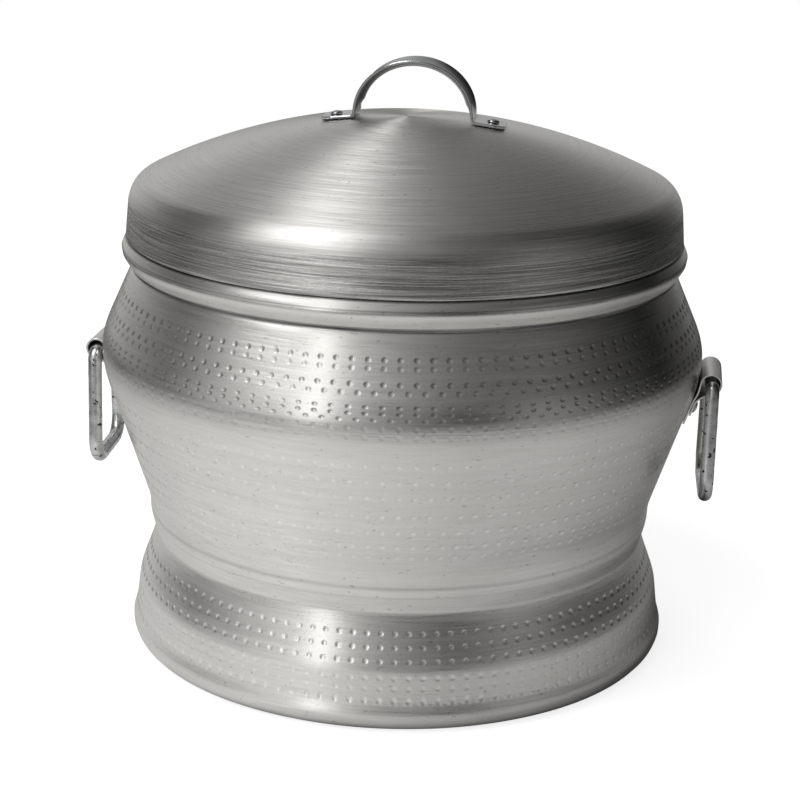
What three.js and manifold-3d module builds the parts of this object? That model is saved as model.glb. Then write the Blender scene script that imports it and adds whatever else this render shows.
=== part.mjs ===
// Stovetop rice steamer of spun and hammered aluminium. The foot of the pot holds the water, a loose
// perforated plate rests on the waist, the belly holds the rice, and a domed lid drops into the mouth.
// A bent strap is riveted on the lid, and two ring bails hang in rolled straps riveted to the wall.
// Millimetres, +Z up, base on Z = 0, bails on the X axis, front towards -Y.

import * as THREE from 'three';
import { mergeVertices } from 'three/addons/utils/BufferGeometryUtils.js';
import Module from 'manifold-3d';

const wasm = await Module();
wasm.setup();

// Fits
const SEAT_GAP = 0.3; // between pieces that rest on each other
const RIVET_PLAY = 0.3; // round a rivet's shank
const LID_PLAY = 0.6; // round the lid's step in the mouth

// Facets
const TURN_SIDES = 48;
const RIVET_SIDES = 8;
const ROD_SIDES = 8;
const HOLE_SIDES = 6;
const HINGE_STEPS = 4;
const COIL_STEPS = 13;
const STAND_STEPS = 400; // points along a run when its height is measured
const WELD = 1e-5; // vertices closer than this are one

// Profile curves: how far along its chord a curve keeps its end direction
const PULL = 0.37;
const SHORT_PULL = 0.22;

// Pot, outside radii and heights from the base up
const POT_WALL = 2;
const BASE_CORNER = 12;
const FOOT_R = 196.2;
const FOOT_WALL_R = 191;
const FOOT_WALL_Z = 40;
const WAIST_R = 179;
const WAIST_Z = 82;
const WAIST_ROLL_R = 182.5;
const WAIST_ROLL_Z = 97;
const BELLY_LOW_R = 186;
const BELLY_LOW_Z = 116;
const BELLY_HIGH_R = 204.5;
const BELLY_HIGH_Z = 173;
const SHOULDER_R = 214.8;
const SHOULDER_Z = 212;
const SLOPE_R = 209.5;
const SLOPE_Z = 237;
const NECK_R = 193.5;
const NECK_Z = 272;
const BEAD_R = 200;
const BEAD_Z = 287;
const RIM_R = 196.8;
const RIM_Z = 295;

// Steam plate
const PLATE_R = 178.6;
const PLATE_SHEET = 1.6;
const PLATE_FLANGE = 9;
const PLATE_CORNER = 4;
const PLATE_FINGER_HOLE_R = 11;
const PLATE_HOLE_R = 3.5;
const PLATE_RING_STEP = 34;
const PLATE_RING_COUNT = 4;
const PLATE_HOLES_IN_FIRST_RING = 6;

// Lid
const LID_SHEET = 1.5;
const LID_HEM_R = 197;
const LID_SKIRT_R = 195;
const LID_SKIRT_H = 23;
const LID_CROWN_R = 420;
const LID_CROWN_EDGE_R = 184;
const LID_H = 83.5;
const LID_STEP_DEPTH = 12;

// Lid handle
const STRAP_SHEET = 2;
const STRAP_W = 28;
const STRAP_ARCH_HALF_SPAN = 41;
const STRAP_ARCH_H = 40;
const STRAP_BEND = 3;
const STRAP_FOOT = 23;
const STRAP_CLIP_ALONG = 6;
const STRAP_CLIP_ACROSS = 3.6;
const STRAP_OFF_CENTRE = 5; // along the crown, towards +X
const LID_RIVET_FROM_END = 9;

// Hinge straps
const HINGE_SHEET = 1.4;
const HINGE_W = 47;
const HINGE_WALL_Z = 204;
const HINGE_BARREL_R = 7.75;
const HINGE_LONG_LEAF = 31;
const HINGE_SHORT_LEAF = 24;
const HINGE_LEAF_TOP = 15;
const HINGE_COIL_END = -76; // degrees round the barrel from +X
const HINGE_RIVET_DROP = 20;
const HINGE_RIVET_SPREAD = 26;

// Bails
const BAIL_ROD_R = 5;
const BAIL_W = 61; // over the axes of the legs at the top bar
const BAIL_LOW_W = 71; // and at the lower bar
const BAIL_DROP = 81;
const BAIL_TOP_CORNER = 7;
const BAIL_LOW_CORNER = 16;
const BAIL_BUTT_GAP = 1.5;

// Rivets
const RIVET_SHANK_R = 2.2;
const RIVET_HEAD_R = 4.4;
const RIVET_HEAD_H = 2;
const RIVET_TAIL_R = 4;
const RIVET_TAIL_H = 1.4;
const RIVET_TAIL_FLAT_R = 2.8;
const RIVET_DRILL_L = 24;

const FINISH = {
  spun: { color: 0xb6b4af, metalness: 1, roughness: 0.42 },
  brushed: { color: 0xa8a6a1, metalness: 1, roughness: 0.34 },
  pressed: { color: 0xbfbdb8, metalness: 1, roughness: 0.45 },
  polished: { color: 0xcfd0d0, metalness: 1, roughness: 0.16 },
  galvanised: { color: 0x9b9d9c, metalness: 1, roughness: 0.38 },
};

const UP = new THREE.Vector2(0, 1);
const point = (r, z) => new THREE.Vector2(r, z);
const heading = (from, to) => to.clone().sub(from).normalize();
const leftOf = (direction) => new THREE.Vector2(-direction.y, direction.x);
const rightOf = (direction) => new THREE.Vector2(direction.y, -direction.x);
const polar = (centre, radius, angle) =>
  point(centre.x + radius * Math.cos(angle), centre.y + radius * Math.sin(angle));

// Geometry with shared vertices only, and without triangles that collapsed on the axis.
function welded(geometry) {
  const bare = geometry.clone();
  bare.deleteAttribute('normal');
  bare.deleteAttribute('uv');
  const merged = mergeVertices(bare, WELD);
  const corners = merged.index.array;
  const kept = [];
  for (let i = 0; i < corners.length; i += 3) {
    const [a, b, c] = corners.slice(i, i + 3);
    if (a !== b && b !== c && c !== a) kept.push(a, b, c);
  }
  merged.setIndex(kept);
  return merged;
}

function solidOf(geometry) {
  const clean = welded(geometry);
  const mesh = new wasm.Mesh({
    numProp: 3,
    vertProperties: new Float32Array(clean.attributes.position.array),
    triVerts: new Uint32Array(clean.index.array),
  });
  mesh.merge();
  return new wasm.Manifold(mesh);
}

function geometryOf(solid) {
  const mesh = solid.getMesh();
  const geometry = new THREE.BufferGeometry();
  geometry.setAttribute('position', new THREE.BufferAttribute(new Float32Array(mesh.vertProperties), 3));
  geometry.setIndex([...mesh.triVerts]);
  geometry.computeVertexNormals();
  return geometry;
}

function cut(geometry, tools) {
  const result = tools.reduce((body, tool) => body.subtract(solidOf(tool)), solidOf(geometry));
  return geometryOf(result);
}

function piece(name, geometry, finish) {
  const mesh = new THREE.Mesh(geometry, new THREE.MeshStandardMaterial(FINISH[finish]));
  mesh.name = name;
  return mesh;
}

// Revolves a closed profile of (radius, height) points, wound with the metal on its left, about Z.
function turned(profile, sides = TURN_SIDES) {
  return welded(new THREE.LatheGeometry(profile, sides)).rotateX(Math.PI / 2);
}

// A profile stretch that leaves a along da and arrives at b along db.
function blend(a, da, b, db, leave = PULL, arrive = PULL) {
  const reach = a.distanceTo(b);
  const near = a.clone().addScaledVector(da, leave * reach);
  const far = b.clone().addScaledVector(db, -arrive * reach);
  return new THREE.CubicBezierCurve(a, near, far, b);
}

// Points of joined stretches, each given with its count of steps.
function trace(stretches) {
  const points = [];
  for (const [curve, steps] of stretches) {
    const run = curve.getPoints(steps);
    points.push(...(points.length ? run.slice(1) : run));
  }
  return points;
}

// The same run of points moved sideways, mitred at each corner. Positive is to the left.
function offset(points, distance) {
  const last = points.length - 1;
  return points.map((p, i) => {
    const before = leftOf(heading(points[Math.max(i - 1, 0)], points[Math.max(i, 1)]));
    const after = leftOf(heading(points[Math.min(i, last - 1)], points[Math.min(i + 1, last)]));
    const mitre = before.clone().add(after).normalize();
    return p.clone().addScaledVector(mitre, distance / mitre.dot(before));
  });
}

// A strip of sheet bent along a run of (x, z) points, centred on Y = 0.
function bentStrip(points, thickness, width, steps = 1) {
  const shape = new THREE.Shape([
    ...offset(points, -thickness / 2),
    ...offset(points, thickness / 2).reverse(),
  ]);
  const geometry = new THREE.ExtrudeGeometry(shape, { depth: width, steps, bevelEnabled: false });
  return geometry.rotateX(Math.PI / 2).translate(0, width / 2, 0);
}

// A prism of a plan outline in X and Y between two heights.
function prism(outline, low, high) {
  const geometry = new THREE.ExtrudeGeometry(new THREE.Shape(outline), {
    depth: high - low,
    bevelEnabled: false,
  });
  return geometry.translate(0, 0, low);
}

// A round rod along a run of (y, z) points in the plane X = 0, closed at both ends.
function bentRod(points, radius, sides) {
  const turn = (2 * Math.PI) / sides;
  const positions = [];
  const corners = [];
  for (let side = 0; side < sides; side += 1) {
    const across = radius * Math.sin(side * turn);
    const edge = offset(points, radius * Math.cos(side * turn));
    edge.forEach((p) => positions.push(across, p.x, p.y));
  }
  const count = points.length;
  const vertex = (side, i) => (side % sides) * count + i;
  for (let side = 0; side < sides; side += 1) {
    for (let i = 0; i < count - 1; i += 1) {
      const [a, b] = [vertex(side, i), vertex(side, i + 1)];
      const [c, d] = [vertex(side + 1, i), vertex(side + 1, i + 1)];
      corners.push(a, c, b, b, c, d);
    }
    if (side > 1) {
      corners.push(vertex(0, 0), vertex(side, 0), vertex(side - 1, 0));
      corners.push(vertex(0, count - 1), vertex(side - 1, count - 1), vertex(side, count - 1));
    }
  }
  const geometry = new THREE.BufferGeometry();
  geometry.setAttribute('position', new THREE.Float32BufferAttribute(positions, 3));
  geometry.setIndex(corners);
  return geometry;
}

// A set rivet about its own Z axis: the domed head lies above headZ and the tail below tailZ.
function rivet(headZ, tailZ) {
  const dome = new THREE.EllipseCurve(0, headZ, RIVET_HEAD_R, RIVET_HEAD_H, 0, Math.PI / 2);
  return turned(
    [
      point(0, tailZ - RIVET_TAIL_H),
      point(RIVET_TAIL_FLAT_R, tailZ - RIVET_TAIL_H),
      point(RIVET_TAIL_R, tailZ),
      point(RIVET_SHANK_R, tailZ),
      point(RIVET_SHANK_R, headZ),
      ...dome.getPoints(4).slice(0, -1),
      point(0, headZ + RIVET_HEAD_H),
    ],
    RIVET_SIDES,
  );
}

// The drill for that rivet, which passes through everything the rivet joins.
const drillR = (RIVET_SHANK_R + RIVET_PLAY) / Math.cos(Math.PI / RIVET_SIDES);
const drill = new THREE.CylinderGeometry(drillR, drillR, RIVET_DRILL_L, RIVET_SIDES).rotateX(Math.PI / 2);

// Pot
const foot = point(FOOT_R, BASE_CORNER);
const footWall = point(FOOT_WALL_R, FOOT_WALL_Z);
const waist = point(WAIST_R, WAIST_Z);
const waistRoll = point(WAIST_ROLL_R, WAIST_ROLL_Z);
const bellyLow = point(BELLY_LOW_R, BELLY_LOW_Z);
const bellyHigh = point(BELLY_HIGH_R, BELLY_HIGH_Z);
const shoulder = point(SHOULDER_R, SHOULDER_Z);
const slope = point(SLOPE_R, SLOPE_Z);
const neck = point(NECK_R, NECK_Z);
const bead = point(BEAD_R, BEAD_Z);
const rim = point(RIM_R, RIM_Z);
const intoWaist = heading(footWall, waist);
const outOfWaist = heading(waist, waistRoll);
const upBelly = heading(bellyLow, bellyHigh);
const upSlope = heading(slope, neck);
const ontoRim = heading(bead, rim);

const baseCorner = new THREE.EllipseCurve(
  FOOT_R - BASE_CORNER,
  BASE_CORNER,
  BASE_CORNER,
  BASE_CORNER,
  -Math.PI / 2,
  0,
);
const potOutside = trace([
  [baseCorner, 3],
  [blend(foot, UP, footWall, UP), 3],
  [blend(footWall, UP, waist, intoWaist, SHORT_PULL), 3],
  [blend(waist, outOfWaist, waistRoll, UP), 2],
  [blend(waistRoll, UP, bellyLow, upBelly), 2],
  [new THREE.LineCurve(bellyLow, bellyHigh), 1],
  [blend(bellyHigh, upBelly, shoulder, UP), 4],
  [blend(shoulder, UP, slope, upSlope, PULL, SHORT_PULL), 3],
  [new THREE.LineCurve(slope, neck), 1],
  [blend(neck, UP, bead, UP, PULL, SHORT_PULL), 3],
  [blend(bead, UP, rim, ontoRim), 2],
]);
const potInside = offset(potOutside, POT_WALL);
potInside[0] = point(FOOT_R - BASE_CORNER, POT_WALL);
potInside[potInside.length - 1] = point(RIM_R - POT_WALL, RIM_Z);
const potProfile = [point(0, 0), ...potOutside, ...potInside.slice().reverse(), point(0, POT_WALL)];

// Where a run of profile points crosses a height, and the way out of the metal there.
function crossing(points, z) {
  const i = points.findIndex((p, k) => k > 0 && p.y >= z && points[k - 1].y < z);
  const [low, high] = [points[i - 1], points[i]];
  const place = low.clone().lerp(high, (z - low.y) / (high.y - low.y));
  return { place, out: rightOf(heading(low, high)) };
}
// The height in a narrowing wall, above the waist, where a disc of this radius is stopped.
function seatHeight(points, radius) {
  const i = points.findIndex((p, k) => k > 0 && p.y > WAIST_Z && p.x >= radius);
  const [low, high] = [points[i - 1], points[i]];
  return low.y + ((high.y - low.y) * (radius - low.x)) / (high.x - low.x);
}

// Hinge straps, as (x, z) runs on the right-hand side
const leafStand = SEAT_GAP + HINGE_SHEET / 2;
const layerStep = HINGE_SHEET + SEAT_GAP;
const coilR = HINGE_BARREL_R - HINGE_SHEET / 2;
const barrelSeat = crossing(potOutside, HINGE_WALL_Z);
const barrel = barrelSeat.place.clone().addScaledVector(barrelSeat.out, leafStand + coilR);
// A leaf lies along the wall between two drops below the barrel's seat. Its run goes up.
function leaf(lowDrop, highDrop, stand) {
  const [low, high] = [HINGE_WALL_Z - lowDrop, HINGE_WALL_Z - highDrop];
  const between = potOutside.filter((p) => p.y > low && p.y < high);
  const wall = [crossing(potOutside, low).place, ...between, crossing(potOutside, high).place];
  return offset(wall, -stand);
}
const coilStart = Math.atan2(-barrelSeat.out.y, -barrelSeat.out.x);
const coilEnd = THREE.MathUtils.degToRad(HINGE_COIL_END);
const coilTurn = (((coilEnd - coilStart) % (2 * Math.PI)) - 2 * Math.PI) % (2 * Math.PI);
const coil = Array.from({ length: COIL_STEPS + 1 }, (_, i) =>
  polar(barrel, coilR, coilStart + (coilTurn * i) / COIL_STEPS),
);
const longLeaf = leaf(HINGE_LONG_LEAF, 0, leafStand);
const shortLeaf = leaf(HINGE_SHORT_LEAF, HINGE_LEAF_TOP, leafStand + layerStep);
const coilExit = rightOf(heading(barrel, coil.at(-1)));
const upLeaf = heading(shortLeaf.at(-2), shortLeaf.at(-1));
const toLeaf = shortLeaf.at(-1).clone().sub(coil.at(-1));
const tuckReach = toLeaf.cross(upLeaf) / coilExit.cross(upLeaf);
const tuck = new THREE.QuadraticBezierCurve(
  coil.at(-1),
  coil.at(-1).clone().addScaledVector(coilExit, tuckReach),
  shortLeaf.at(-1),
);
const hingeRun = [
  ...longLeaf.slice(0, -1),
  ...coil,
  ...tuck.getPoints(4).slice(1),
  ...shortLeaf.slice(0, -1).reverse(),
];

// The leaves are dressed to the round of the wall, and the barrel stays straight.
function hingeStrap() {
  const geometry = bentStrip(hingeRun, HINGE_SHEET, HINGE_W, HINGE_STEPS);
  const place = geometry.attributes.position;
  const straightAbove = barrel.y - HINGE_BARREL_R;
  const dressedBelow = HINGE_WALL_Z - HINGE_LEAF_TOP;
  for (let i = 0; i < place.count; i += 1) {
    const [x, y, z] = [place.getX(i), place.getY(i), place.getZ(i)];
    const share = THREE.MathUtils.clamp((straightAbove - z) / (straightAbove - dressedBelow), 0, 1);
    const round = x - Math.sqrt(x * x - y * y);
    place.setX(i, x - share * round);
  }
  return geometry;
}

// Rivets of the hinge straps: each stands square to the wall at its own angle round the pot.
const rivetSeat = crossing(potOutside, HINGE_WALL_Z - HINGE_RIVET_DROP);
const rivetAngle = Math.asin(HINGE_RIVET_SPREAD / 2 / rivetSeat.place.x);
const rivetTilt = Math.PI / 2 - Math.atan2(rivetSeat.out.y, rivetSeat.out.x);
const facetSag = SHOULDER_R * (1 - Math.cos(Math.PI / TURN_SIDES));
// How far a run stands out from the rivet's seat, at points no further from its axis than the radius.
function stands(run, radius) {
  const along = leftOf(rivetSeat.out);
  return new THREE.Path(run)
    .getSpacedPoints(STAND_STEPS)
    .map((p) => p.sub(rivetSeat.place))
    .filter((p) => Math.abs(p.dot(along)) <= radius)
    .map((p) => p.dot(rivetSeat.out));
}
const strapRivetHead = Math.max(...stands(shortLeaf, RIVET_HEAD_R)) + HINGE_SHEET / 2 + SEAT_GAP;
const strapRivetTail = Math.min(...stands(potInside, RIVET_TAIL_R)) - SEAT_GAP - facetSag;
function atStrapRivet(geometry, around) {
  return geometry
    .clone()
    .rotateY(rivetTilt)
    .translate(rivetSeat.place.x, 0, rivetSeat.place.y)
    .rotateZ(around);
}
const strapRivetPlaces = { front: -rivetAngle, back: rivetAngle };
const onLeft = (geometry) => geometry.clone().rotateZ(Math.PI);
const strapRivet = rivet(strapRivetHead, strapRivetTail);
const strapDrills = Object.values(strapRivetPlaces).map((around) => atStrapRivet(drill, around));
const rightStrap = cut(hingeStrap(), strapDrills);
const pot = new THREE.Group();
pot.add(
  piece('pot_body', cut(turned(potProfile), [...strapDrills, ...strapDrills.map(onLeft)]), 'spun'),
  piece('hinge_strap_right', rightStrap, 'pressed'),
  piece('hinge_strap_left', onLeft(rightStrap), 'pressed'),
);
for (const [end, around] of Object.entries(strapRivetPlaces)) {
  const right = atStrapRivet(strapRivet, around);
  pot.add(piece(`strap_rivet_right_${end}`, right, 'pressed'));
  pot.add(piece(`strap_rivet_left_${end}`, atStrapRivet(strapRivet, Math.PI - around), 'pressed'));
}

// Bails, hanging on the floor of their barrels
const bailSplay = Math.atan2((BAIL_LOW_W - BAIL_W) / 2, BAIL_DROP);
const bailTopBend = point(
  BAIL_W / 2 - (BAIL_TOP_CORNER * (1 - Math.sin(bailSplay))) / Math.cos(bailSplay),
  -BAIL_TOP_CORNER,
);
const bailLowBend = point(
  BAIL_LOW_W / 2 - (BAIL_LOW_CORNER * (1 + Math.sin(bailSplay))) / Math.cos(bailSplay),
  BAIL_LOW_CORNER - BAIL_DROP,
);
const bailPath = new THREE.Path()
  .moveTo(BAIL_BUTT_GAP / 2, 0)
  .lineTo(bailTopBend.x, 0)
  .absarc(bailTopBend.x, bailTopBend.y, BAIL_TOP_CORNER, Math.PI / 2, bailSplay, true)
  .absarc(bailLowBend.x, bailLowBend.y, BAIL_LOW_CORNER, bailSplay, -Math.PI / 2, true)
  .absarc(-bailLowBend.x, bailLowBend.y, BAIL_LOW_CORNER, -Math.PI / 2, -Math.PI - bailSplay, true)
  .absarc(-bailTopBend.x, bailTopBend.y, BAIL_TOP_CORNER, Math.PI - bailSplay, Math.PI / 2, true)
  .lineTo(-BAIL_BUTT_GAP / 2, 0);
const bailRun = bailPath.getPoints(3).filter((p, i, run) => i === 0 || p.distanceTo(run[i - 1]) > WELD);
const bailSag = HINGE_BARREL_R - HINGE_SHEET - BAIL_ROD_R - SEAT_GAP;
const bailPivot = point(barrel.x, barrel.y - bailSag);
// A bail hangs straight down, or leans out where the wall below its barrel stands in the way.
const leans = potOutside
  .map((p) => p.clone().sub(bailPivot))
  .filter((p) => p.y < -HINGE_BARREL_R && p.length() < BAIL_DROP)
  .map((p) => Math.atan2(p.x, -p.y) + Math.asin((BAIL_ROD_R + SEAT_GAP) / p.length()));
const bailLean = Math.max(0, ...leans);
for (const [side, sign] of [['right', 1], ['left', -1]]) {
  const bail = piece(`bail_${side}`, bentRod(bailRun, BAIL_ROD_R, ROD_SIDES), 'galvanised');
  bail.position.set(sign * bailPivot.x, 0, bailPivot.y);
  bail.rotation.y = -sign * bailLean;
  pot.add(bail);
}

// Steam plate
const plateFloor = seatHeight(potInside, PLATE_R + SEAT_GAP);
const plateTop = plateFloor + PLATE_FLANGE;
const plateEdge = new THREE.EllipseCurve(
  PLATE_R - PLATE_CORNER,
  plateTop - PLATE_CORNER,
  PLATE_CORNER,
  PLATE_CORNER,
  0,
  Math.PI / 2,
);
const plateOutside = trace([
  [new THREE.LineCurve(point(PLATE_R, plateFloor), point(PLATE_R, plateTop - PLATE_CORNER)), 1],
  [plateEdge, 2],
  [new THREE.LineCurve(point(PLATE_R - PLATE_CORNER, plateTop), point(PLATE_FINGER_HOLE_R, plateTop)), 1],
]);
const plateInside = offset(plateOutside, PLATE_SHEET).reverse();
const plateProfile = [...plateOutside, ...plateInside, plateOutside[0]];
const plateHole = new THREE.CylinderGeometry(PLATE_HOLE_R, PLATE_HOLE_R, 4 * PLATE_SHEET, HOLE_SIDES)
  .rotateX(Math.PI / 2)
  .translate(0, 0, plateTop - PLATE_SHEET / 2);
const plateHoles = [];
for (let ring = 1; ring <= PLATE_RING_COUNT; ring += 1) {
  const count = ring * PLATE_HOLES_IN_FIRST_RING;
  for (let i = 0; i < count; i += 1) {
    const hole = plateHole.clone().translate(ring * PLATE_RING_STEP, 0, 0);
    plateHoles.push(hole.rotateZ((2 * Math.PI * i) / count));
  }
}
const steamPlate = piece('steam_plate', cut(turned(plateProfile), plateHoles), 'pressed');

// Lid
const lidHemZ = RIM_Z + SEAT_GAP;
const lidTop = lidHemZ + LID_H;
const crownCentre = point(0, lidTop - LID_CROWN_R);
const crownZ = (r) => crownCentre.y + Math.sqrt(LID_CROWN_R ** 2 - r ** 2);
const crownEdge = point(LID_CROWN_EDGE_R, crownZ(LID_CROWN_EDGE_R));
const crownAngle = Math.acos(LID_CROWN_EDGE_R / LID_CROWN_R);
const hem = point(LID_HEM_R, lidHemZ);
const skirtTop = point(LID_SKIRT_R, lidHemZ + LID_SKIRT_H);
const upSkirt = heading(hem, skirtTop);
const upCrown = leftOf(heading(crownCentre, crownEdge));
const lidOutside = trace([
  [new THREE.LineCurve(hem, skirtTop), 1],
  [blend(skirtTop, upSkirt, crownEdge, upCrown), 4],
  [new THREE.EllipseCurve(0, crownCentre.y, LID_CROWN_R, LID_CROWN_R, crownAngle, Math.PI / 2), 6],
]);
lidOutside[lidOutside.length - 1] = point(0, lidTop);
const lidInside = offset(lidOutside, LID_SHEET);
lidInside[lidInside.length - 1] = point(0, lidTop - LID_SHEET);
const stepR = RIM_R - POT_WALL - LID_PLAY;
const stepTop = lidHemZ + LID_SHEET;
lidInside[0] = point(LID_HEM_R - LID_SHEET, stepTop);
const lidProfile = [
  ...lidInside.slice().reverse(),
  point(stepR - LID_SHEET, stepTop),
  point(stepR - LID_SHEET, lidHemZ - LID_STEP_DEPTH),
  point(stepR, lidHemZ - LID_STEP_DEPTH),
  point(stepR, lidHemZ),
  ...lidOutside,
];

// Lid handle: its feet lie flat along the crown, and the arch springs from them.
const footInner = STRAP_ARCH_HALF_SPAN;
const footOuter = STRAP_ARCH_HALF_SPAN + STRAP_FOOT;
const footMiddle = (footInner + footOuter) / 2;
const footStand = SEAT_GAP + STRAP_SHEET / 2;
const footTouch = point(footMiddle, crownZ(footMiddle));
const footOut = heading(crownCentre, footTouch);
const alongFoot = rightOf(footOut);
const onFoot = (x) => {
  const middle = footTouch.clone().addScaledVector(footOut, footStand);
  return middle.addScaledVector(alongFoot, (x - footMiddle) / alongFoot.x);
};
const spring = onFoot(footInner);
const archFoot = point(footInner, spring.y + STRAP_BEND);
const archTop = lidTop + STRAP_ARCH_H - STRAP_SHEET / 2;
const halfHandle = trace([
  [new THREE.EllipseCurve(0, archFoot.y, footInner, archTop - archFoot.y, Math.PI / 2, 0, true), 9],
  [new THREE.QuadraticBezierCurve(archFoot, spring, onFoot(footInner + STRAP_BEND)), 3],
  [new THREE.LineCurve(onFoot(footInner + STRAP_BEND), onFoot(footOuter)), 1],
]);
const mirrored = halfHandle.slice(1).map((p) => point(-p.x, p.y));
const handleRun = [...mirrored.reverse(), ...halfHandle].reverse();
const halfW = STRAP_W / 2;
const reach = footOuter + STRAP_SHEET;
const clipX = footOuter - STRAP_CLIP_ALONG;
const clipY = halfW - STRAP_CLIP_ACROSS;
const handlePlan = [
  point(reach, -clipY),
  point(reach, clipY),
  point(clipX, halfW),
  point(-clipX, halfW),
  point(-reach, clipY),
  point(-reach, -clipY),
  point(-clipX, -halfW),
  point(clipX, -halfW),
];
const planned = solidOf(prism(handlePlan, lidHemZ, lidTop + 2 * STRAP_ARCH_H));
const handleBlank = geometryOf(solidOf(bentStrip(handleRun, STRAP_SHEET, STRAP_W)).intersect(planned));

// The strap with its rivets lies off centre, moved round the middle of the crown's sphere.
const strapTurn = STRAP_OFF_CENTRE / LID_CROWN_R;
const alongCrown = (geometry) =>
  geometry.translate(0, 0, -crownCentre.y).rotateY(strapTurn).translate(0, 0, crownCentre.y);

const lidRivetX = footOuter - LID_RIVET_FROM_END;
const lidRivetTilt = Math.atan2(footOut.x, footOut.y);
const lidRivet = rivet(SEAT_GAP + STRAP_SHEET + SEAT_GAP, -LID_SHEET - 2 * SEAT_GAP);
function atLidRivet(geometry, sign) {
  const seat = onFoot(lidRivetX).addScaledVector(footOut, -footStand);
  const placed = geometry
    .clone()
    .rotateY(sign * lidRivetTilt)
    .translate(sign * seat.x, 0, seat.y);
  return alongCrown(placed);
}
const lidDrills = [1, -1].map((sign) => atLidRivet(drill, sign));
const lid = new THREE.Group();
lid.add(
  piece('lid_shell', cut(turned(lidProfile), lidDrills), 'brushed'),
  piece('lid_handle', cut(alongCrown(handleBlank), lidDrills), 'polished'),
  piece('lid_rivet_right', atLidRivet(lidRivet, 1), 'polished'),
  piece('lid_rivet_left', atLidRivet(lidRivet, -1), 'polished'),
);

const steamer = new THREE.Group();
steamer.add(pot, steamPlate, lid);

export default steamer;
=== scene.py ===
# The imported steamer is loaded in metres, base on Z = 0, bails on the X axis, front towards -Y.
# Its box is kept, because the dressed model stays inside it. Sizes below are in millimetres.
from math import atan2, cos, pi, radians, sin, sqrt

import bpy
import numpy as np
from mathutils import Matrix, Vector


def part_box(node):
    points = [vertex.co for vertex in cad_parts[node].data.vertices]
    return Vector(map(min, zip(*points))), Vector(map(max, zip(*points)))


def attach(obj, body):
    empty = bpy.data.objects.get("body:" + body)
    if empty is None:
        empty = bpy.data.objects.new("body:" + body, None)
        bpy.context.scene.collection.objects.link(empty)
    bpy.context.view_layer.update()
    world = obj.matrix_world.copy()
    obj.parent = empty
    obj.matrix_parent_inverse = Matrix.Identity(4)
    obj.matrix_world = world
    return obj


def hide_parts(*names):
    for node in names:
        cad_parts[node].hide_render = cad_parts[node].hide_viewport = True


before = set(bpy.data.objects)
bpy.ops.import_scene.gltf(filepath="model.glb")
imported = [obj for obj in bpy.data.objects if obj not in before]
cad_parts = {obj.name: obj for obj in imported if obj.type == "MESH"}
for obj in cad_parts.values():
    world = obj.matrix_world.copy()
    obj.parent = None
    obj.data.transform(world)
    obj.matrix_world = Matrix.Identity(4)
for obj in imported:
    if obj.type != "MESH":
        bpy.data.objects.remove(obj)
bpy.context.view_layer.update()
MM = 0.001


# Pot body: one deep-drawn and spun aluminium vessel, 2 mm thick, with a water foot, a waist, a
# flared belly and a beaded mouth. Its outside is planished with rows of round punch blows, closest
# on the shoulder, over the fine rings that the spinning tool left.
POT_WALL = 2
BASE_R, BASE_CORNER, LIP_TILT = 186.5, 10, 17
FOOT_LIP, FOOT_WALL = (194.1, 19), (191.3, 40)
WAIST, WAIST_ROLL = (178.7, 79), (182.7, 98)
BELLY_LOW, BELLY_HIGH = (186, 116), (204.5, 173)
SHOULDER, SLOPE, NECK = (214.8, 216), (209.5, 237), (193.3, 273.2)
GROOVE, BEAD_FOOT, BEAD, RIM = (191.9, 275), (194.6, 276.9), (200, 287), (196.8, 295)
LIP_LEAN, FOOT_LEAN, WAIST_LEAN, BEAD_LEAN = 9, 7, 12, -30
RIM_EASE, RIM_CROWN, RIM_FALL = 0.6, 0.05, 0.7
PULL, SHORT_PULL = 0.37, 0.22
BLOWS_IN_ROW = 124
# Height of each row, how hard it was struck, and its shift in half pitches.
BLOW_ROWS = [
    (22.6, 0.95, 0), (30.6, 0.5, 0), (37.7, 0.65, 0), (48.5, 0.95, 0), (57.2, 1.0, 0),
    (65.8, 1.0, 0),
    (121.8, 0.6, 0), (129.8, 0.85, 0), (140.9, 0.9, 0), (153.2, 0.95, 0), (167.3, 0.95, 0),
    (179.1, 0.95, 0), (191.2, 0.85, 0),
    (211.8, 0.3, 0), (217.6, 0.4, 0), (223.2, 0.8, 1), (227.0, 0.9, 0), (230.8, 0.85, 0),
    (239.0, 0.8, 1), (244.0, 0.95, 0), (253.2, 0.7, 0), (258.3, 0.95, 0),
]
BLOW_HALF_W, BLOW_HALF_H, LOWEST_HALF_H = 2.65, 2.65, 3.6
BLOW_CLEAR, BLOW_FILL, ROWS_MEET = 4.6, 0.9, 0.05
# The slope inside a blow: how far out its ring lies, how deep it is as a share of the blow, and
# how deep a blow it is shaded for.
BLOW_DEPTH, SLOPE_SHARE, SLOPE_DEPTH, SHADED_DEPTH = 0.65523, 0.58, 0.72, 0.6325
# Above this height the blows are darkened, and below it their bottoms are lightened as a painted
# glint.
DARKENED_FROM, DARKENING_IN_BOTTOM = 200, 0.3
PAINTED_GLINT, PAINTED_GLINT_ON_SLOPE, FAINTEST_GLINT, GLINT_SEED = 0.85, 0.3, 0.25, 5
PLAIN_STEP, RING_CLEAR, INSIDE_RINGS = 3.6, 0.1, 74
# Heights of the rings that are laid close beside a crease.
CREASE_RINGS = (18.5, 19.5, 78.5, 79.5, 97.5, 98.5, 272.6, 273.2, 275, 276.9, 277.5)
# Painted shade along the creases and the bottom edge, where shadow falls: height, half width and
# how dark.
PAINTED_CREASE_SHADE = ((0.4, 7.5, 1.0), (79, 1.2, 0.2), (90.5, 1.6, 0.14), (97.5, 2.4, 0.25),
           (275, 2.3, 0.95), (289, 0.8, 0.5), (294.8, 1.0, 0.9))


def vec(*numbers):
    return np.array(numbers, float)


def heading(a, b):
    way = vec(*b) - vec(*a)
    return way / np.linalg.norm(way)


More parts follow.
